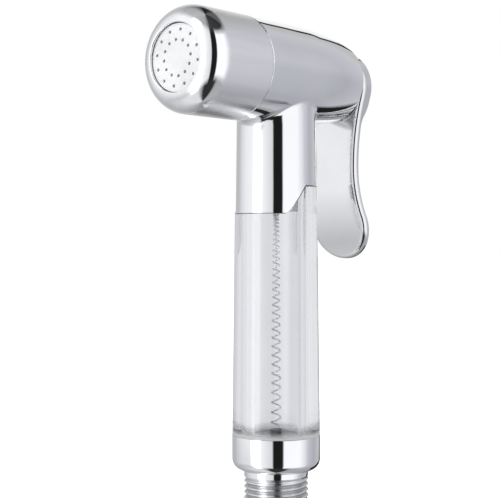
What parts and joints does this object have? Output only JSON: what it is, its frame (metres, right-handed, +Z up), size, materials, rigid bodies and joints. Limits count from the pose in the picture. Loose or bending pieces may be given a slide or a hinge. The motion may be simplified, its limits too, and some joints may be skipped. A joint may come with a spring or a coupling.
{
  "type": "handheld bidet shower",
  "caption": "Handheld bidet shower: chromed head with a squeeze lever behind it, round spray nozzle, clear handle with a wire coil, threaded hose inlet.",
  "frame": {"origin": "centre of the inlet thread's lower end face, which is the part's lowest face", "axes": "+Z up along the handle, the spray nozzle points along -Y, the lever is on the +Y side"},
  "size_m": [0.0328, 0.0874, 0.156],
  "materials": {
    "chrome": "polished",
    "satin_chrome": "satin",
    "white_plastic": "moulded",
    "clear_plastic": "clear polished acrylic",
    "black_rubber": "moulded",
    "grey_rubber": "moulded silicone",
    "black_plastic": "moulded",
    "bare_brass": "turned",
    "spring_steel": "drawn wire"
  },
  "bodies": {
    "shower": {"head_shell": "chrome", "nozzle_collar": "satin_chrome", "collar_seal": "black_rubber", "spray_plate": "white_plastic", "plate_seal": "black_rubber", "flow_disc": "white_plastic", "valve_seat": "bare_brass", "return_spring": "spring_steel", "valve_bonnet": "bare_brass", "bonnet_seal": "black_rubber", "stem_seal": "black_rubber", "hinge_pin": "spring_steel", "neck_insert": "satin_chrome", "tube_seal": "black_rubber", "handle_tube": "clear_plastic", "coil_holder": "white_plastic", "wire_coil": "spring_steel", "coil_ferrule": "black_plastic", "foot_seal": "grey_rubber", "end_fitting": "chrome"},
    "lever": {"lever": "chrome"},
    "stem": {"valve_stem": "bare_brass", "valve_washer": "black_rubber", "washer_screw": "bare_brass"}
  },
  "joints": [
    {"name": "lever_hinge", "type": "hinge", "parent": "shower", "child": "lever", "pos_m": [0, 0.0284, 0.12895], "axis": [-1, 0, 0], "range_deg": [0, 14], "stiffness_Nm_per_rad": 1, "springref_deg": -14.32},
    {"name": "stem_slide", "type": "slide", "parent": "shower", "child": "stem", "axis": [0, 1, 0], "range_m": [0, 0.00285], "deforming": ["return_spring"]}
  ],
  "couplings": [
    {"joint": "stem_slide", "follows": "lever_hinge", "m_per_rad": 0.011645}
  ]
}
